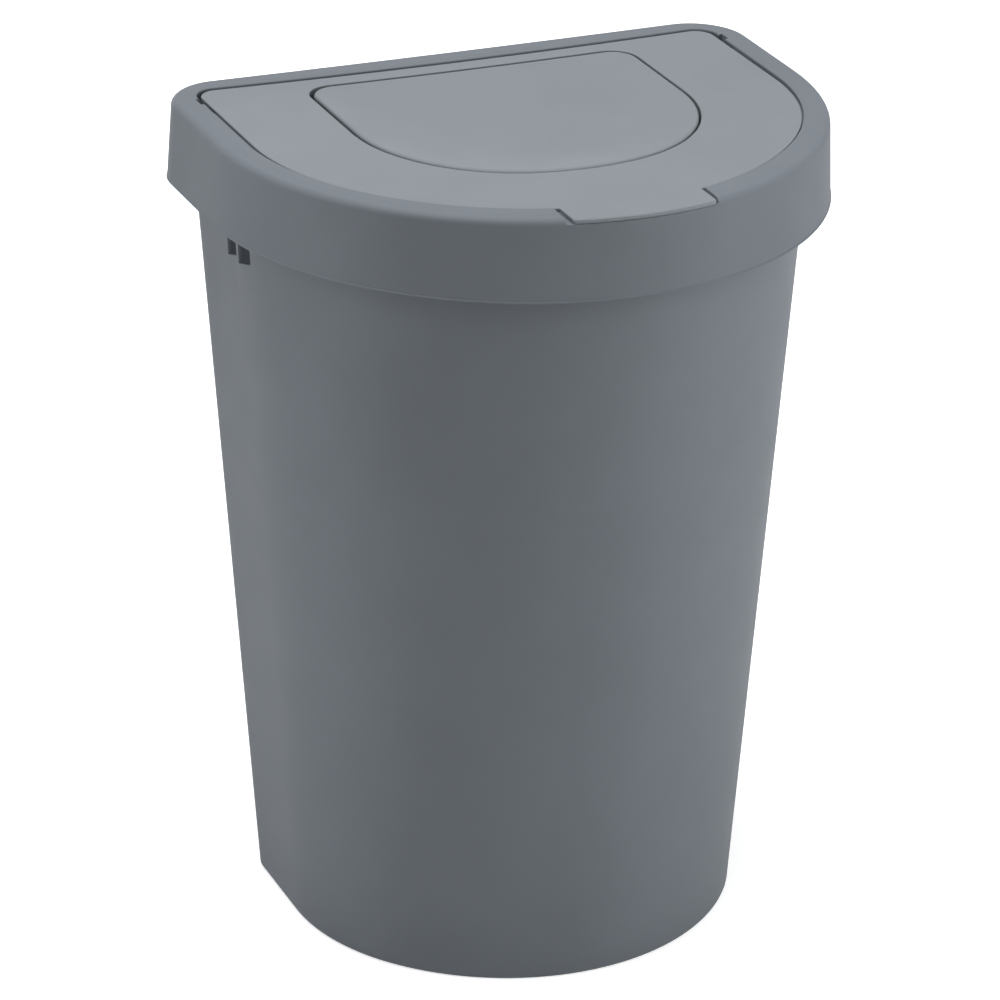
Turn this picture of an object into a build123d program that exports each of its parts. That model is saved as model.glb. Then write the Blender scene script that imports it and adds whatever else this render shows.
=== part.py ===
from build123d import *
import os
from math import cos, radians, sin
from typing import NamedTuple

# A swing-lid waste bin in four moulded pieces: the tub, the collar that drops over its rim,
# the lid that is hinged at the back of the collar, and the flap that swings in the lid.
# Millimetres, +Z up, the front faces -Y. The origin is on the floor, under the middle of the collar.


class Outline(NamedTuple):
    """A D-shaped plan: straight back and flanks, and a front of two blending arcs a side.

    The shoulder arc leaves the flank at flank_end and turns by shoulder_turn degrees.
    The front arc takes over there and meets its mirror image square to the middle line.
    """

    half_width: float
    rear: float
    front: float
    corner_r: float
    flank_end: float
    shoulder_turn: float = 38.0

    def grown(self, by):
        """The outline at an even distance outside this one, or inside it where by is negative."""
        return self._replace(
            half_width=self.half_width + by,
            rear=self.rear + by,
            front=self.front - by,
            corner_r=self.corner_r + by,
        )

    def toward(self, other, share):
        """The outline that a straight wall from this one to the other has at that share of its height."""
        return Outline(*(a + share * (b - a) for a, b in zip(self, other)))

    def radii(self):
        """Radii of the shoulder and front arcs that reach both the flank and the front."""
        s, c = sin(radians(self.shoulder_turn)), cos(radians(self.shoulder_turn))
        depth = self.flank_end - self.front
        spare = 1 - c - s
        shoulder = (self.half_width * (1 - s) - depth * c) / spare
        front = (depth * (1 - c) - self.half_width * s) / spare
        return shoulder, front

    def face(self, z):
        """The flat face inside the outline, at height z."""
        shoulder_r, front_r = self.radii()
        w, r, turn = self.half_width, self.corner_r, self.shoulder_turn
        corner = (w - r, self.rear - r)
        shoulder = (w - shoulder_r, self.flank_end)
        back = Line((corner[0], self.rear), (-corner[0], self.rear))
        left = [
            CenterArc((-corner[0], corner[1]), r, 90, 90),
            Line((-w, corner[1]), (-w, self.flank_end)),
            CenterArc((-shoulder[0], shoulder[1]), shoulder_r, 180, turn),
        ]
        front = CenterArc((0, self.front + front_r), front_r, 180 + turn, 180 - 2 * turn)
        right = [
            CenterArc(shoulder, shoulder_r, -turn, turn),
            Line((w, self.flank_end), (w, corner[1])),
            CenterArc(corner, r, 0, 90),
        ]
        return Pos(0, 0, z) * make_face([back, *left, front, *right])


# Overall size, at the lower edge of the collar's skirt.
height = 600.0
collar_outline = Outline(half_width=225.0, rear=173.7, front=-173.7, corner_r=45.0, flank_end=47.0)

# Tub: a drafted wall, a stepped band at the top for the collar, and a down-turned rim.
foot_outline = Outline(half_width=168.0, rear=113.8, front=-132.6, corner_r=20.0, flank_end=25.4)
tub_wall = 2.2
tub_floor = 3.0
foot_ring_width = 14.0
foot_recess = 4.0
foot_edge_r = 4.0
tub_inset = 17.8
band_inset = 11.0
rim_depth = 10.0
rim_top = height - rim_depth
band_height = 20.0
rim_lip_drop = 12.0
step_top = rim_top - band_height

# Collar: skirt, crowned top, an opening for the lid and a ledge that the lid lies on.
skirt_height = 58.4
skirt_wall = 2.2
skirt_draft = 3.7
skirt_edge_r = 0.8
crown_drop = 0.5
crown_inset = 16.0
crown_edge_r = 5.0
crown_thick = 2.4
rim_width_flank = 23.6
rim_width_rear = 24.4
rim_width_front = 25.1
opening_outline = Outline(
    half_width=collar_outline.half_width - rim_width_flank,
    rear=collar_outline.rear - rim_width_rear,
    front=collar_outline.front + rim_width_front,
    corner_r=13.1,
    flank_end=40.8,
)
opening_edge_r = 1.0
opening_wall = 2.2
opening_wall_depth = 26.0
ledge_width = 4.0
ledge_thick = 2.2
ledge_rear = 110.0
rib_thick = 1.8
flank_rib_places = (-20.0, 30.0, 80.0)
rear_rib_places = (-140.0, -70.0, 0.0, 70.0, 140.0)
front_rib_places = (-145.0, -85.0, 85.0, 145.0)
collar_play = 0.4

# Two bag windows side by side in each flank of the tub, below the skirt's edge.
window_drop = 30.1
window_height = 24.0
window_spans = ((26.2, 48.7), (53.7, 69.7))

# Lid: a flat plate with a tab over the collar's front, turned-down edges and two hinge ears.
lid_gap = 2.4
lid_recess = 0.8
lid_thick = 2.5
lid_edge_r = 0.8
lid_hinge_inset = 21.4
lid_hinge_y = opening_outline.rear - lid_hinge_inset
lid_hinge_depth = 10.0
lid_hinge_z = height - lid_hinge_depth
lid_pin_r = 3.5
lid_pin_reach = 6.1
ear_thick = 2.5
ear_r = 6.0
pin_clearance = 0.05
stiffener_inset = 3.8
stiffener_thick = 2.0
stiffener_depth = 8.0
notch_length = 10.5
notch_width = 2.9
notch_above_pin = 1.0
boss_half_length = 8.0
boss_past_pin = 0.5

# Tab on the lid and the recess for it in the collar's top.
tab_half_width = 52.3
tab_thick = 3.0
tab_inset = 3.4
tab_nose_r = 2.2
tab_gap = 3.1
tab_rest_gap = 0.2
recess_floor_thick = 2.2

# Flap: a dished panel with a turned-down edge, on two stub pins.
lid_strip_rear = 19.3
flap_opening_outline = Outline(
    half_width=125.7,
    rear=opening_outline.rear - lid_strip_rear,
    front=-81.3,
    corner_r=16.3,
    flank_end=34.5,
    shoulder_turn=77.7,
)
flap_gap = 2.4
flap_proud = 0.4
flap_top = height - lid_recess + flap_proud
flap_thick = 2.2
flap_edge_r = 0.7
flap_edge_wall = 2.0
flap_edge_depth = 16.0
flap_edge_draft = 0.6
dish_depth = 11.0
dish_margin = 2.0
dish_overrun = 0.01
dish_flat = 0.08
dish_rounding = 60.0
dish_steps = 7
flap_axis_y = 34.66
flap_axis_depth = 5.5
flap_axis_z = height - flap_axis_depth
flap_pin_r = 2.8
flap_pin_root = 1.8
bearing_wall = 2.0
bearing_depth = 12.0
bearing_boss_thick = 2.5
bearing_boss_half_length = 7.0
bearing_past_pin = 0.3

# Working values: how far joined bodies run into each other, how far a cut runs past a face,
# and a reach beyond the whole bin.
joined = 0.5
past = 1.0
far = 400.0
sides = (-1, 1)


def prism(outline, low, high):
    """An upright solid with the same outline all the way up."""
    return extrude(outline.face(low), amount=high - low)


def taper(lower, low, upper, high):
    """A solid with straight walls from one outline up to another."""
    return loft([lower.face(low), upper.face(high)], ruled=True)


def ring(outer, inner, low, high):
    """An upright wall between two outlines."""
    return prism(outer, low, high) - prism(inner, low, high)


def block(x0, x1, y0, y1, z0, z1):
    """A box between two corners, given in any order."""
    low = (min(x0, x1), min(y0, y1), min(z0, z1))
    size = (abs(x1 - x0), abs(y1 - y0), abs(z1 - z0))
    return Pos(*low) * Box(*size, align=(Align.MIN, Align.MIN, Align.MIN))


def cross_pin(x0, x1, y, z, radius):
    """A round pin along X between two places."""
    turned = Rot(0, 90, 0) * Cylinder(radius, abs(x1 - x0))
    return Pos((x0 + x1) / 2, y, z) * turned


def edges_near(solid, z, reach=0.01):
    """The edges that lie flat at height z."""
    return [
        edge
        for edge in solid.edges()
        if abs(edge.bounding_box().min.Z - z) < reach and abs(edge.bounding_box().max.Z - z) < reach
    ]


def on_outline(edges, outline, reach=0.05):
    """The edges whose middle lies on an outline, told by their distance from its face's border."""
    border = outline.face(0).wire()
    kept = []
    for edge in edges:
        middle = edge @ 0.5
        if border.distance_to(Vertex(middle.X, middle.Y, 0)) < reach:
            kept.append(edge)
    return kept


def make_tub():
    """The tub: one drafted wall, a raised floor, the stepped band and the rim."""
    wall_top = collar_outline.grown(-tub_inset)
    band = collar_outline.grown(-band_inset)
    rim = collar_outline.grown(-(skirt_wall + skirt_draft + collar_play))
    inner_foot = foot_outline.grown(-tub_wall)
    inner_top = wall_top.grown(-tub_wall)
    band_inner = band.grown(-tub_wall)

    tub = taper(foot_outline, 0, wall_top, step_top)
    tub = fillet(on_outline(edges_near(tub, 0), foot_outline), foot_edge_r)
    tub += prism(band, step_top - tub_wall, rim_top)
    tub += ring(rim, band_inner, rim_top - tub_wall, rim_top)
    tub += ring(rim, rim.grown(-tub_wall), rim_top - rim_lip_drop, rim_top)

    floor_outline = inner_foot.toward(inner_top, tub_floor / step_top)
    tub -= taper(floor_outline, tub_floor, inner_top, step_top)
    tub -= prism(band_inner, step_top, rim_top)
    raised = foot_outline.grown(-foot_ring_width)
    tub += prism(raised, 0, foot_recess + tub_floor)
    tub -= prism(raised.grown(-tub_floor), 0, foot_recess)

    window_bottom = height - skirt_height - window_drop
    for front, rear in window_spans:
        for side in sides:
            window_top = window_bottom + window_height
            tub -= block(side * foot_outline.half_width, side * far, front, rear, window_bottom, window_top)
    return tub


def crowned(inset, drop):
    """The collar's body as a solid: the skirt's draft, then a top that rises gently to the opening."""
    shoulder_z = height - crown_drop - drop
    skirt_top = collar_outline.grown(-skirt_draft - inset)
    body = taper(collar_outline.grown(-inset), height - skirt_height, skirt_top, shoulder_z)
    crown_top = collar_outline.grown(-crown_inset)
    body += taper(skirt_top, shoulder_z, crown_top, height - drop)
    return fillet(on_outline(edges_near(body, shoulder_z), skirt_top), crown_edge_r - inset)


def make_collar():
    """The collar: skirt, top, opening wall, ledge, ribs, hinge bearings and the recess for the tab."""
    skirt_bottom = height - skirt_height
    outer = crowned(0, 0)
    outer = fillet(on_outline(edges_near(outer, skirt_bottom), collar_outline), skirt_edge_r)
    hollow = crowned(skirt_wall, crown_thick)
    through = prism(opening_outline, skirt_bottom, height + past)
    collar = outer - hollow - through
    collar = fillet(on_outline(edges_near(collar, height), opening_outline), opening_edge_r)

    wall_outer = opening_outline.grown(opening_wall)
    wall_bottom = height - opening_wall_depth
    under_top = height - crown_thick
    collar += ring(wall_outer, opening_outline, wall_bottom, under_top)

    seat_z = height - lid_recess - lid_thick
    ledge = ring(opening_outline, opening_outline.grown(-ledge_width), seat_z - ledge_thick, seat_z)
    collar += ledge & block(-far, far, -far, ledge_rear, 0, height)

    # Ribs under the top rest on the tub's rim.
    channel = hollow - prism(wall_outer, skirt_bottom, height)
    half = rib_thick / 2
    bars = Part()
    for y in flank_rib_places:
        bars += block(-far, far, y - half, y + half, rim_top, height)
    for x in rear_rib_places:
        bars += block(x - half, x + half, lid_hinge_y, far, rim_top, height)
    for x in front_rib_places:
        bars += block(x - half, x + half, -far, flank_rib_places[0] - half, rim_top, height)
    collar += channel & bars

    # The recess has a floor and two cheeks, so that the top stays closed under the tab.
    recess_half = tab_half_width + tab_gap
    floor_top = height - lid_recess - tab_thick - tab_rest_gap
    floor_bottom = floor_top - recess_floor_thick
    cheek_half = recess_half + recess_floor_thick
    tray = block(-cheek_half, cheek_half, -far, 0, floor_bottom, height)
    tray -= block(-recess_half, recess_half, -far, 0, floor_top, height)
    collar += channel & tray
    collar -= block(-recess_half, recess_half, -far, 0, floor_top, height + past)

    # Hinge bearings: a boss on the opening wall, a bore, and the notch that the pin was pressed in by.
    inner_x = opening_outline.half_width
    boss_x = lid_pin_end() + boss_past_pin
    boss_bottom = lid_hinge_z - boss_half_length
    notch_bottom = lid_hinge_z + lid_pin_r + notch_above_pin
    notch_half = notch_length / 2
    for side in sides:
        collar += block(
            side * (inner_x + opening_wall / 2),
            side * boss_x,
            lid_hinge_y - boss_half_length,
            lid_hinge_y + boss_half_length,
            boss_bottom,
            under_top,
        )
        bore_r = lid_pin_r + pin_clearance
        bore_start, bore_end = side * (inner_x - past), side * (boss_x + past)
        collar -= cross_pin(bore_start, bore_end, lid_hinge_y, lid_hinge_z, bore_r)
        collar -= block(
            side * (inner_x - past),
            side * (inner_x + notch_width),
            lid_hinge_y - notch_half,
            lid_hinge_y + notch_half,
            notch_bottom,
            height + past,
        )
    return collar


def lid_pin_end():
    """How far out the lid's hinge pins reach, along X."""
    return opening_outline.half_width - lid_gap + lid_pin_reach


def make_lid():
    """The lid: plate, tab, flap opening with bearings, stiffening wall, ears and hinge pins."""
    lid_outline = opening_outline.grown(-lid_gap)
    top = height - lid_recess
    under = top - lid_thick
    lid = prism(lid_outline, under, top)
    tab_front = collar_outline.grown(-tab_inset)
    tab = prism(tab_front, top - tab_thick, top)
    tab &= block(-tab_half_width, tab_half_width, -far, flap_opening_outline.front, 0, top)
    lid += tab
    lid = fillet(on_outline(edges_near(lid, top), tab_front), tab_nose_r)
    lid = fillet(on_outline(edges_near(lid, top), lid_outline), lid_edge_r)

    lid -= prism(flap_opening_outline, top - bearing_depth, top + past)
    bearing_ring = flap_opening_outline.grown(bearing_wall)
    lid += ring(bearing_ring, flap_opening_outline, top - bearing_depth, under + joined)
    stiffener = lid_outline.grown(-stiffener_inset)
    stiffener_inner = stiffener.grown(-stiffener_thick)
    lid += ring(stiffener, stiffener_inner, under - stiffener_depth, under + joined)

    pin_end = lid_pin_end()
    for side in sides:
        ear_x = side * (lid_outline.half_width - ear_thick)
        edge_x = side * lid_outline.half_width
        ear_front, ear_rear = lid_hinge_y - ear_r, lid_hinge_y + ear_r
        lid += block(ear_x, edge_x, ear_front, ear_rear, lid_hinge_z, under + joined)
        lid += cross_pin(ear_x, edge_x, lid_hinge_y, lid_hinge_z, ear_r)
        lid += cross_pin(ear_x, side * pin_end, lid_hinge_y, lid_hinge_z, lid_pin_r)

        wall_x = side * (flap_opening_outline.half_width + bearing_wall / 2)
        boss_x = side * bearing_end()
        lid += block(
            wall_x,
            boss_x,
            flap_axis_y - bearing_boss_half_length,
            flap_axis_y + bearing_boss_half_length,
            top - bearing_depth,
            under + joined,
        )
        bore_start = side * (flap_opening_outline.half_width - past)
        bore_r = flap_pin_r + pin_clearance
        lid -= cross_pin(bore_start, boss_x + side * past, flap_axis_y, flap_axis_z, bore_r)
    return lid


def bearing_end():
    """How far out the flap's bearings reach, along X."""
    return flap_opening_outline.half_width + bearing_wall + bearing_boss_thick


def bowl(outline, top):
    """The dish as a solid: sections on a parabola, each the outline shrunk and with rounder corners."""
    middle_y = (outline.rear + outline.front) / 2
    start = outline.grown(-dish_margin)
    sections = []
    for step in range(dish_steps):
        size = 1 + dish_overrun - step * (1 + dish_overrun - dish_flat) / (dish_steps - 1)
        depth = dish_depth * (1 - size**2)
        shrunk = Outline(
            start.half_width * size,
            middle_y + (start.rear - middle_y) * size,
            middle_y + (start.front - middle_y) * size,
            (start.corner_r + dish_rounding * (1 - size)) * size,
            middle_y + (start.flank_end - middle_y) * size,
            start.shoulder_turn,
        )
        sections.append(shrunk.face(top - depth))
    return loft(sections)


def make_flap():
    """The flap: a dished panel of even thickness, its turned-down edge and two stub pins."""
    outline = flap_opening_outline.grown(-flap_gap)
    flap = prism(outline, flap_top - flap_thick, flap_top)
    flap = fillet(on_outline(edges_near(flap, flap_top), outline), flap_edge_r)
    edge_bottom = flap_top - flap_edge_depth
    drafted = outline.grown(-flap_edge_draft)
    edge_top = flap_top - flap_edge_r
    inner, inner_drafted = outline.grown(-flap_edge_wall), drafted.grown(-flap_edge_wall)
    wall = taper(drafted, edge_bottom, outline, edge_top)
    wall -= taper(inner_drafted, edge_bottom, inner, edge_top)
    flap += wall
    dish = bowl(outline, flap_top)
    flap += Pos(0, 0, -flap_thick) * dish
    flap -= dish
    for side in sides:
        root_x = side * (outline.half_width - flap_pin_root)
        end_x = side * (bearing_end() - bearing_past_pin)
        flap += cross_pin(root_x, end_x, flap_axis_y, flap_axis_z, flap_pin_r)
    return flap


pieces = {
    "tub": make_tub(),
    "collar": make_collar(),
    "lid": make_lid(),
    "flap": make_flap(),
}

os.makedirs("parts", exist_ok=True)
for name, piece in pieces.items():
    export_step(piece, f"parts/{name}.step")
    print(name, "volume cm3", round(piece.volume / 1000, 1), "centre", piece.center(CenterOf.MASS))
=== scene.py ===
from math import cos, radians, sin

import bpy
import numpy as np
from mathutils import Matrix, Vector


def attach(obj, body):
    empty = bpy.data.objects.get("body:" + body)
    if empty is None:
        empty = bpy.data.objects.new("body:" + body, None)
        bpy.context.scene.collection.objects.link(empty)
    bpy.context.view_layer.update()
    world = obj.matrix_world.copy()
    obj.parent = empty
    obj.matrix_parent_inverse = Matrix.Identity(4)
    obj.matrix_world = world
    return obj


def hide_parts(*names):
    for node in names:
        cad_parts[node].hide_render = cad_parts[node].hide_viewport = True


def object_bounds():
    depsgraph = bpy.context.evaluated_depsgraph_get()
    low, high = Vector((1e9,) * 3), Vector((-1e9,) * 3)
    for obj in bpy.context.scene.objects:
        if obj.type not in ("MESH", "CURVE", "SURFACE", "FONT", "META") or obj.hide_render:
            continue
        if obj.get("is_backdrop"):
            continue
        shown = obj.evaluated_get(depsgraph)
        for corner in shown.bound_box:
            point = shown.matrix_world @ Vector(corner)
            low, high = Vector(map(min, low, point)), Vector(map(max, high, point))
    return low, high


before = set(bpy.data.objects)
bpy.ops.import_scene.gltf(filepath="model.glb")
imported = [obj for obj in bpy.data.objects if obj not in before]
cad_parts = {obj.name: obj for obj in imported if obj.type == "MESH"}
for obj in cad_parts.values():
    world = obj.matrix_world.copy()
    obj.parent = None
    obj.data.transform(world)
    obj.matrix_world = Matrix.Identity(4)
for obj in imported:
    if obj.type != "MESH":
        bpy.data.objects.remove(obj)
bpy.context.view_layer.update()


# Camera
# A long lens on a high tripod, in front of the bin and to its left. Its place, turn, roll and focal
# length come from a perspective fit of the foot, the flanks, the skirt, the lid and the flap together.
camera_place = Vector((-1.2366, -2.6676, 1.6882))
camera_azimuth = radians(-24.4465)
camera_elevation = radians(25.0164)
camera_roll = radians(1.5642)
towards_camera = Vector((
    sin(camera_azimuth) * cos(camera_elevation),
    -cos(camera_azimuth) * cos(camera_elevation),
    sin(camera_elevation),
))
level = (-towards_camera).cross(Vector((0, 0, 1))).normalized()
upright = level.cross(-towards_camera)
camera_right = level * cos(camera_roll) + upright * sin(camera_roll)
camera_up = upright * cos(camera_roll) - level * sin(camera_roll)
lens = bpy.data.cameras.new("camera")
lens.sensor_width = 36.0
lens.lens = 163.41
lens.clip_end = 50.0
camera = bpy.data.objects.new("camera", lens)
camera.matrix_world = Matrix((camera_right, camera_up, towards_camera)).transposed().to_4x4()
camera.location = camera_place
bpy.context.scene.collection.objects.link(camera)
bpy.context.scene.camera = camera


# Tub
# One deep drafted moulding of polypropylene, 2.2 mm thick, with a raised floor, a stepped band and a
# down-turned rim. Two windows for the slack of the bag are cored through each flank.

# A D plan is the half width, the y of the back, the y of the front, the radius of the rear corners and
# the y where the straight flank ends, all in mm, and the degrees that the shoulder's arc turns.
collar_plan = np.array((225.0, 173.7, -173.7, 45.0, 47.0, 38.0))
foot_plan = np.array((168.0, 113.8, -132.6, 20.0, 25.4, 38.0))
tub_wall = 2.2
recess_in, recess_high = -17.0, 4.0
floor_in, floor_high = -14.0, 7.0
step_in, step_z = -17.8, 570.0
band_in, rim_in, rim_z = -11.0, -6.3, 590.0
window_z = (511.5, 535.5)
window_y = ((30.6, 51.6), (56.2, 72.2))
window_edge = 0.5
inner_edge_share = 0.6
sill_places, sill_shifts = (24.0, 30.6, 51.6, 56.2, 72.2, 80.0), (0.0, 3.2, -3.2, 0.8, -4.0, 0.0)
sill_heights, sill_shares = (470.0, 505.0, 511.0, 512.0, 535.0), (0.0, 0.6, 1.0, 1.0, 0.0)
flank_from = 150.0
ring_counts = {"back": 8, "corner": 16, "flank": 10, "shoulder": 19, "front": 26}


def grown(plan, by):
    """A D plan moved outward by the same distance everywhere: every radius and half width grows by it."""
    return plan + np.multiply.outer(by, (1, 1, -1, 1, 0, 0))


def shrunk(plan, size, middle_y, rounder=0.0):
    """Copies of a D plan, each scaled by its size about (0, middle_y).

    The corner's radius first grows by rounder times 1 - size, which makes the smallest copies rounder.
    """
    half_width, rear, front, corner, flank, turn = plan
    rear, front, flank = (middle_y + (y - middle_y) * size for y in (rear, front, flank))
    corner = (corner + rounder * (1 - size)) * size
    return np.stack([half_width * size, rear, front, corner, flank, turn + 0 * size], axis=-1)


def arc_radii(plan):
    """The radii of a D plan's shoulder and front arcs, which meet the flank, each other and the front.

    With w the half width, d the depth from the flank's end to the front, and sin and cos of the turn,
    shoulder = (w (1 - sin) - d cos) / (1 - cos - sin) and front = (d (1 - cos) - w sin) / (1 - cos - sin).
    """
    half_width, _, front, _, flank, turn = np.moveaxis(np.asarray(plan, float), -1, 0)
    sine, cosine = np.sin(np.radians(turn)), np.cos(np.radians(turn))
    depth = flank - front
    divisor = 1 - cosine - sine
    shoulder = (half_width * (1 - sine) - depth * cosine) / divisor
    return shoulder, (depth * (1 - cosine) - half_width * sine) / divisor


def d_rings(plans, side_y=None, front_x=None):
    """Closed D rings, one a plan, as x and y arrays of rings by stations, anticlockwise from the back.

    Every station is centre + radius * (cos a, sin a). On the straight back and flanks the centre slides
    at the corner's radius. The shoulder arc turns from 180 degrees by the plan's turn, and the front
    arc goes on to 270. side_y and front_x ask for stations at those y on the flank and those x on the
    front arc. The right half mirrors the left.
    """
    plans = np.atleast_2d(plans)
    half_width, rear, front, corner, flank, turn = (value[:, None] for value in plans.T)
    shoulder_r, front_r = (radius[:, None] for radius in arc_radii(plans))
    turn = np.radians(turn)
    side_y = flank if side_y is None else np.atleast_2d(side_y)
    front_x = 0 * flank if front_x is None else np.atleast_2d(front_x)
    side_turn = np.arcsin(np.clip((flank - side_y) / shoulder_r, 0, 1))
    front_turn = 1.5 * np.pi - np.arcsin(np.clip(front_x / front_r, 0, 1))
    last_side, first_front = side_turn[:, -1:], front_turn[:, :1] - np.pi

    def share(stretch):
        return np.arange(ring_counts[stretch])[None] / ring_counts[stretch]

    between_arcs = (np.arange(ring_counts["shoulder"])[None] + 1) / (ring_counts["shoulder"] + 1)
    flank_y = rear - corner + (side_y[:, :1] - rear + corner) * share("flank")
    stretches = [
        ((corner - half_width) * share("back"), rear - corner, corner, 0.5 * np.pi),
        (corner - half_width, rear - corner, corner, 0.5 * np.pi * (1 + share("corner"))),
        (corner - half_width, flank_y, corner, np.pi),
        (shoulder_r - half_width, np.maximum(side_y, flank), shoulder_r, np.pi + side_turn),
        (shoulder_r - half_width, flank, shoulder_r, np.pi + last_side + (turn - last_side) * between_arcs),
        (0.0, front + front_r, front_r, np.pi + turn + (first_front - turn) * share("front")),
        (0.0, front + front_r, front_r, front_turn),
    ]
    xs, ys = [], []
    for stretch in stretches:
        centre_x, centre_y, radius, angle, _ = np.broadcast_arrays(*stretch, half_width)
        xs.append(centre_x + radius * np.cos(angle))
        ys.append(centre_y + radius * np.sin(angle))
    x, y = np.concatenate(xs, axis=1), np.concatenate(ys, axis=1)
    x[:, [0, -1]] = 0
    return np.concatenate([x, -x[:, -2:0:-1]], axis=1), np.concatenate([y, y[:, -2:0:-1]], axis=1)


def rounded(corners, steps=5, brace=0.5):
    """A profile through corners of (place, height, radius), with an arc of that radius at each.

    An arc touches both sides at radius / tan(half the angle between them) from the corner and turns
    evenly about its centre. A point a little further along each side keeps the flat faces beside it
    flat when they are shaded. The ends and the corners without a radius stay single points.
    """
    corners = np.array(corners, float)
    profile = corners[:, :2]
    is_round = corners[:, 2] > 0
    is_round[[0, -1]] = False
    at = np.flatnonzero(is_round)
    here, radius = profile[at], corners[at, 2:]
    back, on = profile[at - 1] - here, profile[at + 1] - here
    back_reach = np.linalg.norm(back, axis=1, keepdims=True)
    on_reach = np.linalg.norm(on, axis=1, keepdims=True)
    back, on = back / back_reach, on / on_reach
    half = 0.5 * np.arccos(np.clip(np.sum(back * on, axis=1, keepdims=True), -1, 1))
    tangent = radius / np.tan(half)
    inward = (back + on) / np.linalg.norm(back + on, axis=1, keepdims=True)
    centre = here + inward * radius / np.sin(half)
    start, end = here + back * tangent - centre, here + on * tangent - centre
    arc = np.arccos(np.clip(np.sum(start * end, axis=1, keepdims=True) / radius**2, -1, 1))[:, None]
    t = np.linspace(0, 1, steps + 1)[None, :, None]
    turned = (np.sin((1 - t) * arc) * start[:, None] + np.sin(t * arc) * end[:, None]) / np.sin(arc)
    before = here + back * (tangent + np.minimum(brace, 0.4 * (back_reach - tangent)))
    after = here + on * (tangent + np.minimum(brace, 0.4 * (on_reach - tangent)))
    arcs = np.concatenate([before[:, None], centre[:, None] + turned, after[:, None]], axis=1)
    repeats = np.where(is_round, steps + 3, 1)
    points = np.repeat(profile, repeats, axis=0)
    points[np.repeat(is_round, repeats)] = arcs.reshape(-1, 2)
    return points


def rows_along(profile, base):
    """Rings along a profile of (distance outside the base plan, height): their plans and their heights."""
    profile = np.asarray(profile, float)
    return grown(base, profile[:, 0]), profile[:, 1]


def wall_rows(heights, by=0.0):
    """Rings of the tub's wall, which is straight from the foot to the step, at given heights.

    Each is moved outward by the same distance.
    """
    return grown(foot_plan + np.multiply.outer(heights / step_z, step_plan - foot_plan), by), heights


def stacked(rows):
    """The plans, heights and names of named groups of rings, one group after the other."""
    plans, heights = (np.concatenate(group) for group in zip(*rows.values()))
    names = np.repeat(list(rows), [len(group) for _, group in rows.values()])
    return plans, heights[:, None], names[:, None]


def quads(rows, stations, closed):
    """Faces between neighbouring rings, with four corners each.

    The last ring is joined to the first if closed.
    """
    ring = np.arange(rows if closed else rows - 1)[:, None]
    here, there = ring * stations, (ring + 1) % rows * stations
    station = np.arange(stations)[None]
    onward = (station + 1) % stations
    corners = [here + station, here + onward, there + onward, there + station]
    return np.stack(corners, axis=-1).reshape(-1, 4)


def cup(x, y, z, first_pole, last_pole):
    """A shell of rings closed at both ends by a fan of triangles round a middle point."""
    rows, stations = x.shape
    points = np.concatenate([np.stack([x, y, z], axis=-1).reshape(-1, 3), [first_pole, last_pole]])
    station = np.arange(stations)
    onward = (station + 1) % stations
    last_ring = (rows - 1) * stations
    first_number, last_number = rows * stations + 0 * station, rows * stations + 1 + 0 * station
    first_fan = np.stack([first_number, onward, station], axis=-1)
    last_fan = np.stack([last_number, last_ring + station, last_ring + onward], axis=-1)
    return points, [quads(rows, stations, False), first_fan, last_fan]


def off_windows(y, z):
    """Distance of each point from the nearest window's edge, in mm, and 0 inside a window."""
    off_z = np.maximum(np.maximum(window_z[0] - z, z - window_z[1]), 0)
    off_y = [np.maximum(np.maximum(low - y, y - high), 0) for low, high in window_y]
    return np.hypot(off_z, np.minimum(*off_y))


def rounding(gap, radius):
    """How far an edge of that radius falls away at a distance from it: r - sqrt(r^2 - (r - gap)^2)."""
    inside = np.clip(radius - gap, 0, radius)
    return radius - np.sqrt(radius**2 - inside**2)


def lines_over(high, low):
    """Lines across a window from its rear edge to its front one, close together just outside both."""
    return np.concatenate([high + off_edge, np.linspace(high, low, 5)[1:-1], low - off_edge[::-1]])


def round_window(number, sill, head, first, last):
    """The numbers of the points round a window: onward along its sill and back along its head."""
    return np.concatenate([number[sill, first:last + 1], number[head, first:last + 1][::-1]])


step_plan = grown(collar_plan, step_in)
foot_lean = (step_plan[0] - foot_plan[0]) / step_z
tub_middle = 0.5 * (foot_plan[1] + foot_plan[2])
off_edge = np.array((0.6, 0.35, 0.15, 0.0))
tub_lines = np.concatenate([[80.0, 75.0]] + [lines_over(high, low) for low, high in reversed(window_y)])
wall_heights = np.concatenate(
    [np.arange(60.0, 500.0, 60.0), [505.0], window_z[0] - off_edge, window_z[1] + off_edge[::-1], [545.0]]
)
foot_ring = rounded(
    [
        (-22.0, recess_high, 0),
        (recess_in, recess_high, 0.8),
        (recess_in + 0.4, 0.0, 0.8),
        (-8.0, 0.0, 0),
    ],
    4,
)
foot_edge = rounded([(-8.0, 0.0, 0), (0.0, 0.0, 4.0), (12.0 * foot_lean, 12.0, 0)], 8)
under_band = rounded(
    [
        (step_in - 0.85, 555.0, 0),
        (step_in - 0.07, 567.8, 0.6),
        (band_in, 567.8, 0.5),
        (band_in, 580.0, 0),
    ],
    4,
)
rim_profile = rounded(
    [
        (band_in, 575.0, 0),
        (band_in, 587.8, 0.6),
        (rim_in - tub_wall, 587.8, 0.6),
        (rim_in - tub_wall + 0.1, 578.0, 0.5),
        (rim_in, 578.0, 0.5),
        (rim_in, rim_z, 0.9),
        (band_in - tub_wall, rim_z, 0.6),
        (band_in - tub_wall, step_z, 0.6),
        (step_in - tub_wall, step_z, 0.8),
        (step_in - tub_wall - 1.0, 556.0, 0),
    ],
    4,
)
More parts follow.
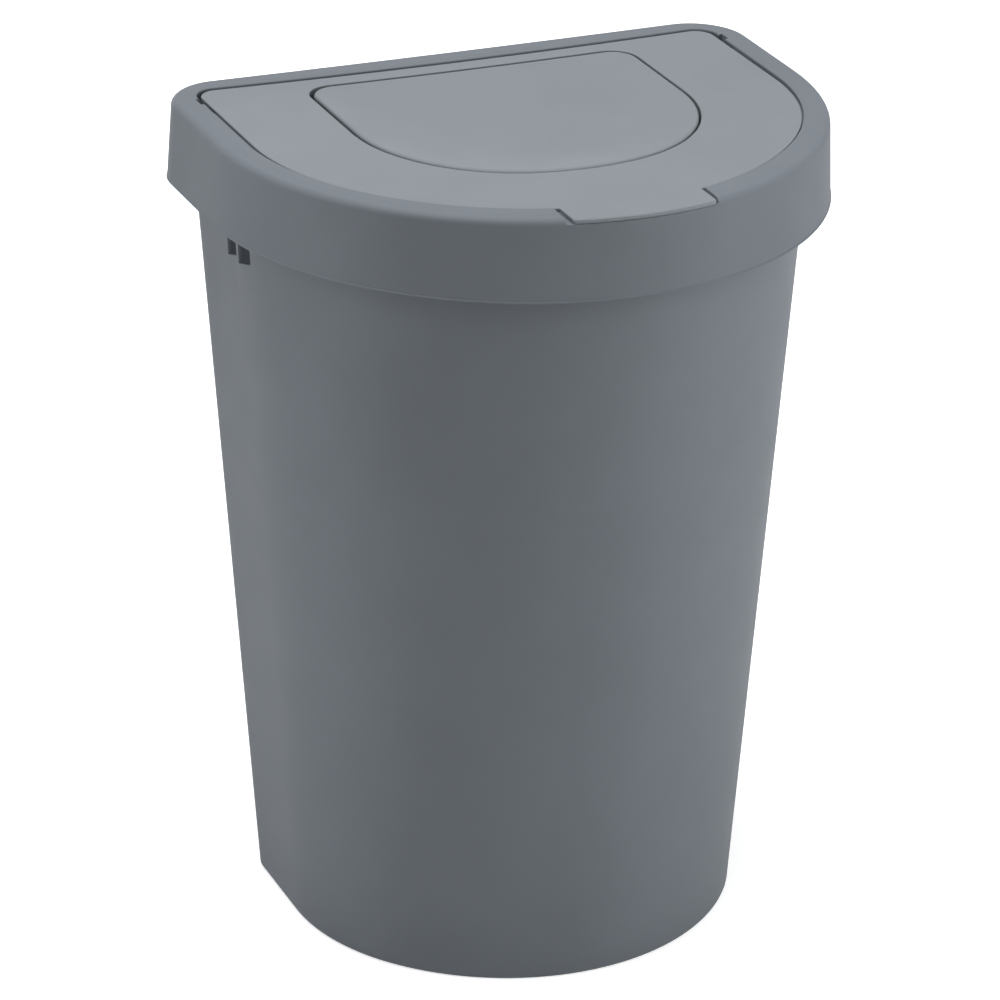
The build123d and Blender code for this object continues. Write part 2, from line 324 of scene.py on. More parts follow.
floor_profile = rounded(
    [
        (-tub_wall + 0.8, 12.0, 0),
        (-tub_wall + 0.2, 3.0, 1.6),
        (-13.9, 3.0, 0.4),
        (-14.1, floor_high, 0.6),
        (-20.0, floor_high, 0),
    ],
    5,
)
middle_sizes = np.array((0.25, 0.5, 0.75))
tub_plans, tub_heights, tub_names = stacked({
    "recess": (shrunk(grown(foot_plan, recess_in), middle_sizes, tub_middle), np.full(3, recess_high)),
    "foot ring": rows_along(foot_ring, foot_plan),
    "foot edge": rows_along(foot_edge[1:-1], foot_plan),
    "outer wall": wall_rows(wall_heights),
    "under band": rows_along(under_band[1:-1], collar_plan),
    "rim": rows_along(rim_profile[1:-1], collar_plan),
    "inner wall": wall_rows(wall_heights[::-1], -tub_wall),
    "floor edge": rows_along(floor_profile[1:], foot_plan),
    "floor": (shrunk(grown(foot_plan, floor_in), middle_sizes[::-1], tub_middle), np.full(3, floor_high)),
})
is_outer, is_inner = tub_names == "outer wall", tub_names == "inner wall"
tub_x, tub_y = d_rings(tub_plans, side_y=tub_lines)
tub_z = tub_heights + 0 * tub_x

# The windows' edges are rounded, by a smaller share on the wall's inner face, and their sills slope.
sunk = rounding(off_windows(tub_y, tub_z), window_edge)
tub_x -= np.sign(tub_x) * sunk * (is_outer.astype(float) - inner_edge_share * is_inner)
sill_slope = np.interp(tub_y, sill_places, sill_shifts) * np.interp(tub_z, sill_heights, sill_shares)
tub_z += sill_slope * (is_outer | is_inner) * (abs(tub_x) > flank_from)
tub_points, (wall_faces, underside_fan, floor_fan) = cup(
    tub_x, tub_y, tub_z, (0, tub_middle, recess_high), (0, tub_middle, floor_high)
)

# Each window takes its faces out of both walls, and four-cornered faces line the hole between them.
number = np.arange(tub_x.size).reshape(tub_x.shape)
stations = tub_x.shape[1]
flank_start = ring_counts["back"] + ring_counts["corner"] + ring_counts["flank"]
sill_and_head = np.searchsorted(wall_heights, window_z)
outer_sill, outer_head = np.argmax(is_outer) + sill_and_head
inner_sill, inner_head = np.argmax(is_inner) + len(wall_heights) - 1 - sill_and_head
is_solid = np.ones(len(wall_faces), bool)
linings = []
for low, high in window_y:
    rear_edge, front_edge = (flank_start + int(np.argmin(abs(tub_lines - edge))) for edge in (high, low))
    for first, last in ((rear_edge, front_edge), (stations - front_edge, stations - rear_edge)):
        is_solid[number[outer_sill, first:last]] = False
        is_solid[number[inner_head, first:last]] = False
        outer_round = round_window(number, outer_sill, outer_head, first, last)
        inner_round = round_window(number, inner_sill, inner_head, first, last)
        corners = [outer_round, np.roll(outer_round, -1), np.roll(inner_round, -1), inner_round]
        linings.append(np.stack(corners, axis=-1))
tub_shell = (tub_points, [wall_faces[is_solid], underside_fan, floor_fan] + linings)


def satin_plastic(name, colour, roughness, grain):
    """Polypropylene coloured right through, moulded against a spark-eroded steel.

    It has a fine grain, faint clouds of tone and of gloss, and the slight waviness that a large thin
    moulding takes as it cools. grain is the depth of the bump in metres.
    """
    tone_spread, gloss_spread, wave_depth = 0.035, 0.03, 0.0006
    tone_scale, gloss_scale, grain_scale, wave_scale = 11.0, 23.0, 2600.0, 9.0
    cloud_low, cloud_high = 0.3, 0.7
    material = bpy.data.materials.new(name)
    material.use_nodes = True
    nodes, links = material.node_tree.nodes, material.node_tree.links
    shader = nodes["Principled BSDF"]
    shader.inputs["Metallic"].default_value = 0.0
    shader.inputs["IOR"].default_value = 1.49
    shader.inputs["Specular IOR Level"].default_value = 0.1
    place = nodes.new("ShaderNodeTexCoord").outputs["Object"]

    def cloud(scale, detail):
        noise = nodes.new("ShaderNodeTexNoise")
        noise.inputs["Scale"].default_value = scale
        noise.inputs["Detail"].default_value = detail
        links.new(place, noise.inputs["Vector"])
        return noise.outputs["Fac"]

    def spread(source, low, high):
        span = nodes.new("ShaderNodeMapRange")
        span.inputs["From Min"].default_value = cloud_low
        span.inputs["From Max"].default_value = cloud_high
        span.inputs["To Min"].default_value = low
        span.inputs["To Max"].default_value = high
        links.new(source, span.inputs["Value"])
        return span.outputs["Result"]

    def bump(source, depth):
        relief = nodes.new("ShaderNodeBump")
        relief.inputs["Strength"].default_value = 1.0
        relief.inputs["Distance"].default_value = depth
        links.new(source, relief.inputs["Height"])
        return relief

    tone = nodes.new("ShaderNodeMix")
    tone.data_type = "RGBA"
    tone.inputs["A"].default_value = (*[(1 - tone_spread) * c for c in colour], 1)
    tone.inputs["B"].default_value = (*[(1 + tone_spread) * c for c in colour], 1)
    links.new(spread(cloud(tone_scale, 3.0), 0.0, 1.0), tone.inputs["Factor"])
    links.new(tone.outputs["Result"], shader.inputs["Base Color"])
    gloss = spread(cloud(gloss_scale, 4.0), roughness - gloss_spread, roughness + gloss_spread)
    links.new(gloss, shader.inputs["Roughness"])
    fine = bump(cloud(grain_scale, 2.0), grain)
    wavy = bump(cloud(wave_scale, 0.0), wave_depth)
    links.new(wavy.outputs["Normal"], fine.inputs["Normal"])
    links.new(fine.outputs["Normal"], shader.inputs["Normal"])
    return material


def build(name, shells, material):
    """One smooth mesh in metres from shells in mm, with sharp edges where faces meet at over 32 degrees.

    A shell is its points and blocks of faces, with equally many corners to each face of a block. The
    point numbers of a shell go up by the number of points in the shells before it.
    """
    faces, start = [], 0
    for points, blocks in shells:
        for block in blocks:
            faces.extend((block + start).tolist())
        start += len(points)
    mesh = bpy.data.meshes.new(name)
    mesh.from_pydata(np.concatenate([points for points, blocks in shells]) * 0.001, [], faces)
    mesh.polygons.foreach_set("use_smooth", np.ones(len(faces), bool))
    mesh.set_sharp_from_angle(angle=radians(32))
    mesh.materials.append(material)
    piece = bpy.data.objects.new(name, mesh)
    bpy.context.scene.collection.objects.link(piece)
    return piece


satin_roughness, satin_grain = 0.58, 0.00002
slate_grey = (0.155, 0.172, 0.192)
body_plastic = satin_plastic("body_plastic", slate_grey, satin_roughness, satin_grain)
tub = build("tub_moulding", [tub_shell], body_plastic)
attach(tub, "tub")
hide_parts("tub")


# Collar
# The skirted ring that drops over the tub's rim and carries the lid. One moulding of the tub's plastic:
# a drafted skirt, a crowned top, an opening wall with a ledge, and the recess for the tab.
opening_plan = np.array((201.4, 151.8, -148.6, 16.0, 40.8, 38.0))
skirt_low, skirt_inside = 541.6, -5.6
collar_high, under_crown = 600.0, 597.6
opening_wall = 2.2
recess_half, recess_floor = 55.4, 596.0
recess_lip, cheek_edge = 0.7, 0.5
tray_half, tray_low = 57.6, 593.8
ledge_wide, ledge_rear = 4.0, 110.0
ledge_high, ledge_low = 596.7, 594.5
hinge_y, hinge_z = 127.9, 590.0
notch_half, notch_wide, notch_low = 5.25, 2.9, 594.5
boss_half, boss_wide, boss_low = 8.0, 4.2, 582.0
bow_places, bow_depths, bow_half = (60.0, 110.0, 152.0, 174.0), (0.0, 5.0, 5.0, 0.4), 185.0
steep = 0.05
either_side = np.array((steep, -steep))


def ring_shell(x, y, z):
    """A closed shell of rings whose last ring joins the first, as on a hoop with a hollow section."""
    return np.stack([x, y, z], axis=-1).reshape(-1, 3), [quads(*x.shape, True)]


def turned_over(shell):
    """The same shell with every face's corners in the opposite order, so that it faces the other way."""
    points, blocks = shell
    return points, [block[:, ::-1] for block in blocks]


def front_of(plan, x):
    """The y of a D plan's front arc at given x: front + radius - sqrt(radius^2 - x^2)."""
    radius = arc_radii(plan)[1]
    return plan[2] + radius - np.sqrt(radius**2 - np.asarray(x, float) ** 2)


def flank_of(plan, y):
    """The x of a D plan's flank or shoulder at given y: w - radius + sqrt(radius^2 - (flank - y)^2)."""
    radius = arc_radii(plan)[0]
    return plan[0] - radius + np.sqrt(radius**2 - np.maximum(plan[4] - y, 0) ** 2)


def pressed(z, floor):
    """Heights whose rise over a floor is cut to a fiftieth, so the rows lie all but flat and stay apart."""
    return np.where(z > floor, floor + (z - floor) / 50, z)


def bar(x_span, y_span, z_span, chamfer=0.35):
    """A closed straight rib that fills a box, its two lower long edges taken off at 45 degrees."""
    along_x = abs(x_span[1] - x_span[0]) > abs(y_span[1] - y_span[0])
    left, right = y_span if along_x else x_span
    bottom, top = z_span
    across = np.array((left, left, left + chamfer, right - chamfer, right, right))
    height = np.array((top, bottom + chamfer, bottom, bottom, bottom + chamfer, top))
    rings = []
    for place in sorted(x_span if along_x else y_span):
        along = np.full(6, place)
        rings.append(np.stack([along, across, height] if along_x else [across, along, height], axis=-1))
    caps = np.array((np.arange(6)[::-1], np.arange(6, 12)))
    shell = (np.concatenate(rings), [quads(2, 6, False), caps])
    return shell if along_x else turned_over(shell)


def bowed(shells):
    """Shells with their long rear edges drawn in as the moulding cools.

    y falls by bow * (1 - (x / bow_half)^2), where bow goes from nothing well in front of the hinges
    to its full depth at the lid's rear edges, and is small at the back of the skirt.
    """
    drawn = []
    for points, blocks in shells:
        bow = np.interp(points[:, 1], bow_places, bow_depths)
        drawn_in = bow * np.clip(1 - (points[:, 0] / bow_half) ** 2, 0, 1)
        drawn.append((points - np.multiply.outer(drawn_in, (0, 1, 0)), blocks))
    return drawn


skirt_profile = rounded(
    [
        (-6.0, 570.0, 0),
        (-2.2, skirt_low, 0.35),
        (0.0, skirt_low, 0.3),
        (0.0, skirt_low + 0.9, 0.4),
        (-0.55, skirt_low + 1.6, 0.3),
        (-3.7, 599.5, 5.0),
        (-16.0, collar_high, 9.0),
        (-17.2, collar_high, 0),
    ],
    7,
)
inside_profile = rounded(
    [
        (-17.0, under_crown, 0),
        (-16.0, under_crown, 0),
        (-5.9, 597.1, 2.8),
        (-2.2, skirt_low, 0.35),
        (0.0, skirt_low, 0),
    ],
    5,
)
top_of_wall = rounded([(2.7, collar_high, 0), (0.0, collar_high, 1.0), (0.0, 597.0, 0)], 6)
wall_face = np.concatenate([
    [(3.1, collar_high), (notch_wide + steep, collar_high), (notch_wide - steep, collar_high)],
    top_of_wall[1:-1],
    [(0.0, ledge_high + steep), (0.0, ledge_high), (0.0, ledge_low), (0.0, ledge_low - steep)],
])
wall_foot = rounded(
    [
        (0.0, 580.0, 0),
        (0.0, 574.0, 0.5),
        (opening_wall, 574.0, 0.5),
        (opening_wall, 581.0, 0),
    ],
    3,
)
wall_back = np.concatenate([
    wall_foot[1:-1],
    [(opening_wall, boss_low - steep), (opening_wall, boss_low + steep)],
    [(opening_wall, 596.6), (opening_wall, under_crown), (3.4, under_crown)],
])
collar_plans, collar_heights, collar_names = stacked({
    "skirt": rows_along(skirt_profile[1:-1], collar_plan),
    "wall face": rows_along(wall_face, opening_plan),
    "wall back": rows_along(wall_back, opening_plan),
    "inside": rows_along(inside_profile[1:-3], collar_plan),
})
is_wall = np.isin(collar_names, ("wall face", "wall back"))
is_outside = np.isin(collar_names, ("skirt", "wall face"))

# Two lines, just behind and just in front, mark each edge of the notches, bosses and ledge. The skirt's
# lines reach less far back, because its corners are larger.
wall_lines = np.concatenate([
    [135.6, 133.6],
    hinge_y + notch_half + either_side,
    [hinge_y + 2.6, hinge_y, hinge_y - 2.6],
    hinge_y - notch_half + either_side,
    [122.2],
    hinge_y - boss_half + either_side,
    ledge_rear + either_side,
    np.arange(98.0, 49.0, -12.0),
])
skirt_lines = np.interp(wall_lines, (wall_lines[-1], wall_lines[0]), (wall_lines[-1], 126.5))
cheek_lines = recess_half + steep + np.array((0.9, 0.5, 0.3, 0.15, 0.0))
front_lines = np.concatenate([
    [62.0],
    tray_half + either_side,
    cheek_lines,
    [recess_half - steep, 54.5, 48.0, 40.0, 30.0, 20.0, 10.0, 0.0],
])
collar_x, collar_y = d_rings(
    collar_plans, side_y=np.where(is_wall, wall_lines, skirt_lines), front_x=front_lines
)
collar_z = collar_heights + 0 * collar_x
off_wall = collar_plans[:, :1] - opening_plan[0]

# The recess for the tab has cheeks with a rounded edge and a soft lip, and a tray closes it below.
is_front = collar_y < 0
across = abs(collar_x)
cheek_drop = rounding(across - recess_half - steep, cheek_edge)
cheek_drop = np.minimum(cheek_drop, np.maximum(collar_z - recess_floor, 0))
collar_z -= cheek_drop * (is_front & is_outside & (across > recess_half))
lip_share = np.maximum(recess_lip - abs(collar_z - recess_floor), 0) / recess_lip
sunk_floor = pressed(collar_z, recess_floor) - lip_share**2 * recess_lip / 4
collar_z = np.where(is_front & is_outside & (across < recess_half), sunk_floor, collar_z)
collar_z = np.where(is_front & ~is_outside & (across < tray_half), pressed(collar_z, tray_low), collar_z)

# Each flank of the opening has a notch for the lid's ear, with a boss on the wall's far side, and in
# front of it a ledge on which the lid lies.
from_hinge = abs(collar_y - hinge_y)
on_flank_wall = is_wall & (across > flank_from)
in_notch = on_flank_wall & is_outside & (from_hinge < notch_half) & (off_wall < notch_wide)
collar_z = np.where(in_notch, pressed(collar_z, notch_low), collar_z)
in_boss = on_flank_wall & ~is_outside & (from_hinge < boss_half) & (collar_z > boss_low)
collar_x += np.sign(collar_x) * in_boss * (boss_wide - opening_wall)
on_ledge = is_wall & np.isin(collar_heights, (ledge_high, ledge_low)) & (collar_y < ledge_rear)
ledge_x, ledge_y = d_rings(grown(opening_plan, -ledge_wide), wall_lines, front_lines)
collar_x, collar_y = np.where(on_ledge, ledge_x, collar_x), np.where(on_ledge, ledge_y, collar_y)
collar_shells = [ring_shell(collar_x, collar_y, collar_z)]

# Ribs that rest on the tub's rim join the opening wall to the skirt, and their ends hide in both. On the
# curved walls each end is measured a little to the side where the space is narrowest, so that no
# corner of it comes through.
half_rib, rib_hidden, aside = 0.9, 0.4, 1.0
rib_heights = (rim_z, under_crown + 0.1)
from_opening = grown(opening_plan, opening_wall - rib_hidden)
to_skirt = grown(collar_plan, skirt_inside + rib_hidden)


def rib_width(place):
    """The two sides of a rib whose middle is at a place."""
    return place - half_rib, place + half_rib


for side in (-1, 1):
    for place in (-20.0, 30.0, 80.0):
        span = (side * flank_of(from_opening, place + aside), side * flank_of(to_skirt, place - aside))
        collar_shells.append(bar(span, rib_width(place), rib_heights))
    for place in (85.0, 145.0):
        span = (front_of(to_skirt, place + aside), front_of(from_opening, place - aside))
        collar_shells.append(bar(rib_width(side * place), span, rib_heights))
for place in (-140.0, -70.0, 0.0, 70.0, 140.0):
    collar_shells.append(bar(rib_width(place), (from_opening[1], to_skirt[1]), rib_heights))
collar = build("collar_moulding", bowed(collar_shells), body_plastic)
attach(collar, "collar")
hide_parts("collar")


# Lid
# The flat plate in the collar's opening, moulded with a tab that reaches over the front, a stiffening
# wall and two bearings for the flap. An ear with a pin at each side snaps into the collar as its hinge.
lid_plan = opening_plan + (-3.0, -2.6, 0.5, -2.6, -6.0, 0)
tab_plan = grown(collar_plan, -3.4)
flap_hole_plan = np.array((126.4, 134.9, -81.3, 21.0, 34.5, 77.7))
lid_top, lid_under, tab_under = 599.2, 596.7, 596.2
lid_edge, tab_nose = 0.8, 1.2
tab_half, tab_play = 52.3, 1.5
tab_turn, tab_round = 1.0, 2.4
bearing_wall, bearing_low = 2.0, 587.2
ear_half, ear_thick = 6.0, 2.5
gate_y = 146.0


def bend(start, corner, end, count):
    """Points from start to end on the parabola that leaves and meets the two sides of a corner."""
    t = np.linspace(0, 1, count)[:, None]
    return (1 - t) ** 2 * start + 2 * t * (1 - t) * corner + t**2 * end


def on_front(plan, x):
    """The points (x, y) of a D plan's front arc at given x."""
    return np.stack([x, front_of(plan, x)], axis=-1)


def lathe(profile, centre, sides=40):
    """A closed round pin along x, turned from a profile of (x, radius) that starts and ends on its axis."""
    profile = np.asarray(profile, float)
    angle = np.linspace(0, 2 * np.pi, sides, endpoint=False)[None]
    along, radius = profile[1:-1, :1], profile[1:-1, 1:]
    x, y, z = along + 0 * angle, centre[0] + radius * np.cos(angle), centre[1] + radius * np.sin(angle)
    shell = cup(x, y, z, (profile[0, 0], *centre), (profile[-1, 0], *centre))
    return shell if profile[-1, 0] > profile[0, 0] else turned_over(shell)


def tongue(start, end, half, low, high, edge=0.4, sides=24):
    """A closed plate across x whose lower end is a half circle, with straight sides up from it."""
    angle = np.linspace(np.pi, 2 * np.pi, sides)[None]
    centre_z = low + half
    inward = np.sign(end - start) * edge
    place = np.array([[start], [start + inward], [end - inward], [end]])
    radius = np.array([[half - edge], [half], [half], [half - edge]])
    y = hinge_y + np.concatenate([radius * np.cos(angle), radius, -radius], axis=1)
    z = np.concatenate([centre_z + radius * np.sin(angle), high + 0 * radius, high + 0 * radius], axis=1)
    shell = cup(place + 0 * y, y, z, (start, hinge_y, centre_z + 1), (end, hinge_y, centre_z + 1))
    return shell if end > start else turned_over(shell)


# The tab's path runs from the lid's front arc round a small bend, out along the tab's side and round its
# corner to the middle. The plain lines give the rings elsewhere on the lid as many stations as it has.
lid_lines = np.array((60.0, 56.5, 54.6))
lid_bend_count, side_steps, nose_count = 4, (5.0, 12.0), 8
tab_lines = np.array((46.0, 38.0, 30.0, 20.0, 10.0, 0.0))
lid_corner, tab_corner = on_front(lid_plan, tab_half), on_front(tab_plan, tab_half)
tab_path = np.concatenate([
    on_front(lid_plan, lid_lines),
    bend(on_front(lid_plan, tab_half + tab_turn), lid_corner, lid_corner - (0, tab_turn), lid_bend_count),
    lid_corner - [(0, step) for step in side_steps],
    bend(tab_corner + (0, tab_round), tab_corner, on_front(tab_plan, tab_half - tab_round), nose_count),
    on_front(tab_plan, tab_lines),
])
tab_path[:, 0] *= -1
plain_lines = np.concatenate([
    lid_lines,
    [53.9, 53.5, 53.2, 52.9, 52.6, 52.3],
    np.linspace(52.1, 49.5, nose_count),
    tab_lines,
])
along_path = np.gradient(tab_path, axis=0)
along_path[-1] = (1.0, 0.0)
outward = np.stack([along_path[:, 1], -along_path[:, 0]], axis=-1)
outward /= np.linalg.norm(outward, axis=1, keepdims=True)
path_step = np.arange(len(tab_path))
nose_start = len(lid_lines) + lid_bend_count + len(side_steps)
nose_share = np.clip((path_step - nose_start) / (nose_count - 1), 0, 1)
path_edge = lid_edge + (tab_nose - lid_edge) * nose_share
path_play = tab_play * np.clip((path_step + 1 - len(lid_lines)) / lid_bend_count, 0, 1)
path_under = np.where(path_step < len(lid_lines) + lid_bend_count // 2, lid_under, tab_under)


def tabbed(inset, below, through):
    """Rings round the lid's plate and tab, as x, y and z.

    inset is how far a ring lies inside the edge and below how far under the top, both in shares of the
    edge's radius, and through adds a share of the thickness to the second. Off the tab they are plain
    D rings, and on it they follow the tab's path along its normals.
    """
    inset, below, through = (np.asarray(share, float)[:, None] for share in (inset, below, through))
    x, y = d_rings(grown(lid_plan, -inset[:, 0] * lid_edge), front_x=plain_lines)
    z = lid_top - below * lid_edge - through * (lid_top - lid_under) + 0 * x
    path_x = tab_path[:, 0] - inset * path_edge * outward[:, 0]
    path_y = tab_path[:, 1] - inset * path_edge * outward[:, 1]
    path_z = lid_top - below * path_edge - through * (lid_top - path_under)
    left = x.shape[1] // 2 + 1 - len(tab_path) + path_step
    right = x.shape[1] - left[:-1]
    x[:, left], y[:, left], z[:, left] = path_x + path_play, path_y, path_z
    x[:, right], y[:, right], z[:, right] = (path_play - path_x)[:, :-1], path_y[:, :-1], path_z[:, :-1]
    return x, y, z


def plain_rows(base, profile, narrower=1.0):
    """Plain D rings of the lid along a profile of (distance outside the base plan, height)."""
    plans, heights = rows_along(profile, base)
    x, y = d_rings(plans, front_x=plain_lines * narrower)
    return x, y, heights[:, None] + 0 * x


edge_turn = np.linspace(0, 0.5 * np.pi, 7)
lid_rim = tabbed(
    inset=np.concatenate([[1.0, 0.35, 0.0, 0.0], 1 - np.cos(edge_turn), [1.5]]),
    below=np.concatenate([[0.0, 0.0, -0.35, 1.25], 1 - np.sin(edge_turn), [0.0]]),
    through=np.concatenate([[1.0, 1.0, 1.0, 0.0], 0 * edge_turn, [0.0]]),
)
hole_profile = rounded(
    [
        (1.6, lid_top, 0),
        (0.0, lid_top, 0.5),
        (0.0, bearing_low, 0.3),
        (bearing_wall, bearing_low, 0.5),
        (bearing_wall, lid_under, 0.6),
        (6.0, lid_under, 0),
    ],
    4,
)
stiffener = rounded(
    [
        (-9.0, lid_under, 0),
        (-5.8, lid_under, 0.5),
        (-5.7, 588.7, 0.5),
        (-3.9, 588.7, 0.5),
        (-3.8, lid_under, 0.5),
        (-2.4, lid_under, 0),
    ],
    3,
)
lid_rows = [lid_rim, plain_rows(flap_hole_plan, hole_profile[1:], 0.5), plain_rows(lid_plan, stiffener)]
lid_shells = [ring_shell(*(np.concatenate(group) for group in zip(*lid_rows)))]
lid_pin = np.array(((196.8, 0.0), (196.8, 3.5), (204.6, 3.5), (205.1, 3.0), (205.1, 0.0)))
ear_low, ear_high = hinge_z - ear_half, lid_under + 0.3
for side in (-1, 1):
    ear_outside = side * lid_plan[0]
    lid_shells.append(tongue(ear_outside - side * ear_thick, ear_outside, ear_half, ear_low, ear_high))
    lid_shells.append(lathe(lid_pin * (side, 1), (hinge_y, hinge_z)))

# The gate mark is the low round scar where the plastic was let into the mould.
gate_turn = np.linspace(0, 2 * np.pi, 24, endpoint=False)[None]
gate_radius = np.array([[1.7], [1.3], [1.0], [0.7]])
gate_lift = np.array([[-0.3], [0.12], [0.12], [0.02]])
lid_shells.append(
    cup(
        gate_radius * np.cos(gate_turn),
        gate_y + gate_radius * np.sin(gate_turn),
        lid_top + gate_lift + 0 * gate_turn,
        (0, gate_y, lid_top - 0.3),
        (0, gate_y, lid_top + 0.02),
    )
)
# Painted light: the lid and the flap are the same plastic as the body, but their grey is made lighter than
# slate_grey to stand in for the light that falls on their upward faces.
lid_grey_painted_lighter = (0.208, 0.228, 0.248)
lid_plastic = satin_plastic("lid_plastic", lid_grey_painted_lighter, satin_roughness, satin_grain)
lid = build("lid_moulding", bowed(lid_shells), lid_plastic)
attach(lid, "lid")
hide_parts("lid")


# Flap
# The dished panel that swings in the lid, one moulding of the lid's plastic 2.2 mm thick. Its
# turned-down edge is 16 mm deep, and two stub pins on it snap into the lid's bearings.
flap_plan = grown(flap_hole_plan, -2.4)
flap_play = 0.9
flap_top, flap_low, flap_thick = 599.4, 583.6, 2.2
dish_depth, dish_margin, dish_round = 11.0, 3.2, 60.0
axis_y, axis_z = 34.66, 594.5

dish_plan = grown(flap_plan, -dish_margin)
dish_middle = 0.5 * (dish_plan[1] + dish_plan[2])
dish_sizes = np.concatenate([np.linspace(0.06, 0.9, 22), [0.94, 0.97, 0.99, 1.0]])
under_sizes = dish_sizes[-3::-1]
edge_profile = rounded(
    [
        (-2.9, flap_top, 0),
        (0.0, flap_top, 2.2),
        (-0.6, flap_low, 0.5),
        (-2.6, flap_low, 0.5),
        (-2.1, flap_top - flap_thick - 0.6, 0),
    ],
    5,
)


def dish(sizes, middle_z):
    """Rings of the dish, which is a bowl whose height rises with the square of a ring's size."""
    return shrunk(dish_plan, sizes, dish_middle, dish_round), middle_z + dish_depth * sizes**2


top_middle = flap_top - dish_depth
under_middle = top_middle - flap_thick
flap_plans, flap_heights, _ = stacked({
    "dish": dish(dish_sizes, top_middle),
    "edge": rows_along(edge_profile, flap_plan),
    "underside": dish(under_sizes, under_middle),
})
flap_x, flap_y = d_rings(flap_plans)
flap_z = flap_heights + 0 * flap_x
flap_panel = cup(flap_x, flap_y, flap_z, (0, dish_middle, top_middle), (0, dish_middle, under_middle))
flap_shells = [turned_over(flap_panel)]
flap_pin = np.array(((121.6, 0.0), (121.6, 2.0), (129.5, 2.0), (129.9, 1.6), (129.9, 0.0)))
for side in (-1, 1):
    flap_shells.append(lathe(flap_pin * (side, 1), (axis_y, axis_z)))
flap_shells = [(points + (flap_play, 0, 0), blocks) for points, blocks in flap_shells]
# The flap takes the lid's grey, painted lighter for the light on its top.
flap = build("flap_moulding", bowed(flap_shells), lid_plastic)
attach(flap, "flap")
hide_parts("flap")


# Studio
# A pale floor that keeps the bin's shadow, a softbox overhead, one in front and a low one behind, three
# upright strips that shape the flanks, a faint lamp inside the tub, and white surroundings.
def seen_white(nodes, links):
    """1 for a camera, glossy or transmission ray, which see the white surroundings, and else 0."""
    ray = nodes.new("ShaderNodeLightPath")
    seen = ray.outputs["Is Camera Ray"]
    for kind in ("Is Glossy Ray", "Is Transmission Ray"):
        larger = nodes.new("ShaderNodeMath")
        larger.operation = "MAXIMUM"
        links.new(seen, larger.inputs[0])
        links.new(ray.outputs[kind], larger.inputs[1])
        seen = larger.outputs["Value"]
    return seen


def glowing_paint(name, grey, near, far, near_glow):
    """A pale matt paint that adds its own white for the rays that see white surroundings.

    The glow rises from near_glow at the near distance from the bin to full white at the far one, because
    the lamps light the paint most beside the bin.
    """
    material = bpy.data.materials.new(name)
    material.use_nodes = True
    nodes, links = material.node_tree.nodes, material.node_tree.links
    paint = nodes["Principled BSDF"]
    paint.inputs["Base Color"].default_value = (grey, grey, grey, 1)
    paint.inputs["Roughness"].default_value = 0.9
    distance = nodes.new("ShaderNodeVectorMath")
    distance.operation = "LENGTH"
    links.new(nodes.new("ShaderNodeTexCoord").outputs["Object"], distance.inputs[0])
    paler = nodes.new("ShaderNodeMapRange")
    paler.inputs["From Min"].default_value = near
    paler.inputs["From Max"].default_value = far
    paler.inputs["To Min"].default_value = near_glow
    paler.inputs["To Max"].default_value = 1.0
    links.new(distance.outputs["Value"], paler.inputs["Value"])
    strength = nodes.new("ShaderNodeMath")
    strength.operation = "MULTIPLY"
    links.new(seen_white(nodes, links), strength.inputs[0])
    links.new(paler.outputs["Result"], strength.inputs[1])
    glow = nodes.new("ShaderNodeEmission")
    glow.inputs["Color"].default_value = (1, 1, 1, 1)
    links.new(strength.outputs["Value"], glow.inputs["Strength"])
    both = nodes.new("ShaderNodeAddShader")
    links.new(paint.outputs["BSDF"], both.inputs[0])
    links.new(glow.outputs["Emission"], both.inputs[1])
    links.new(both.outputs["Shader"], nodes["Material Output"].inputs["Surface"])
    return material


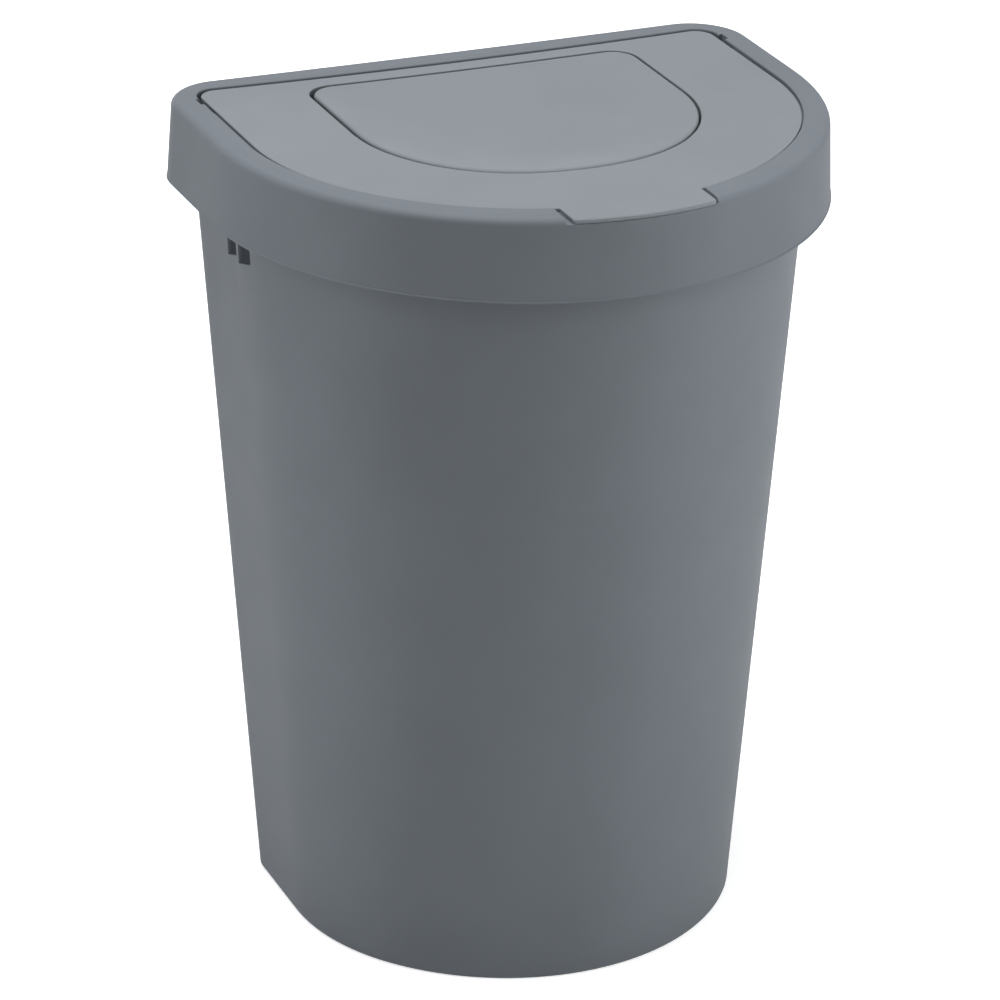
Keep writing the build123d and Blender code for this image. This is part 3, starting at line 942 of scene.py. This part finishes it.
def softbox(name, place, aim, width, height, power):
    """A rectangular lamp that faces a point and isn't seen by the camera."""
    lamp = bpy.data.lights.new(name, "AREA")
    lamp.shape = "RECTANGLE"
    lamp.size, lamp.size_y = width, height
    lamp.energy = power
    holder = bpy.data.objects.new(name, lamp)
    holder.location = place
    holder.rotation_euler = (Vector(aim) - Vector(place)).to_track_quat("-Z", "Y").to_euler()
    holder.visible_camera = False
    bpy.context.scene.collection.objects.link(holder)


floor_half = 9.0
floor_mesh = bpy.data.meshes.new("floor")
floor_corners = np.array([(-1, -1, 0), (1, -1, 0), (1, 1, 0), (-1, 1, 0)]) * floor_half
floor_mesh.from_pydata(floor_corners, [], [(0, 1, 2, 3)])
floor_mesh.materials.append(glowing_paint("floor_paint", 0.8, near=0.3, far=1.0, near_glow=0.66))
floor = bpy.data.objects.new("floor", floor_mesh)
bpy.context.scene.collection.objects.link(floor)
floor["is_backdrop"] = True

softbox("top_softbox", (-0.2, 0.2, 2.5), aim=(0, 0, 0.4), width=1.4, height=1.4, power=46.0)
softbox("front_softbox", (-1.014, -2.175, 1.3), aim=(0, 0, 0.5), width=1.4, height=1.8, power=1.8)
softbox("right_strip", (0.675, -0.804, 0.8), aim=(0, 0, 0.8), width=0.25, height=1.6, power=9.8)
softbox("left_strip", (-1.044, -0.110, 0.8), aim=(0, 0, 0.8), width=0.25, height=1.6, power=6.0)
softbox("middle_strip", (-0.092, -1.046, 0.8), aim=(0, 0, 0.8), width=0.25, height=1.6, power=0.3)
softbox("rear_softbox", (0.3, 2.4, 0.4), aim=(0, 0, 0.3), width=1.4, height=0.7, power=9.0)

inside_lamp = bpy.data.lights.new("inside_glow", "POINT")
inside_lamp.energy = 0.6
inside_lamp.shadow_soft_size = 0.08
inside_holder = bpy.data.objects.new("inside_glow", inside_lamp)
inside_holder.location = (0, 0, 0.45)
inside_holder.visible_camera = False
bpy.context.scene.collection.objects.link(inside_holder)

world = bpy.data.worlds.new("studio")
world.use_nodes = True
bpy.context.scene.world = world
surroundings = world.node_tree.nodes["Background"]
surroundings.inputs["Color"].default_value = (1, 1, 1, 1)
world_seen = seen_white(world.node_tree.nodes, world.node_tree.links)
world.node_tree.links.new(world_seen, surroundings.inputs["Strength"])
bpy.context.scene.view_settings.view_transform = "Standard"

low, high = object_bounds()
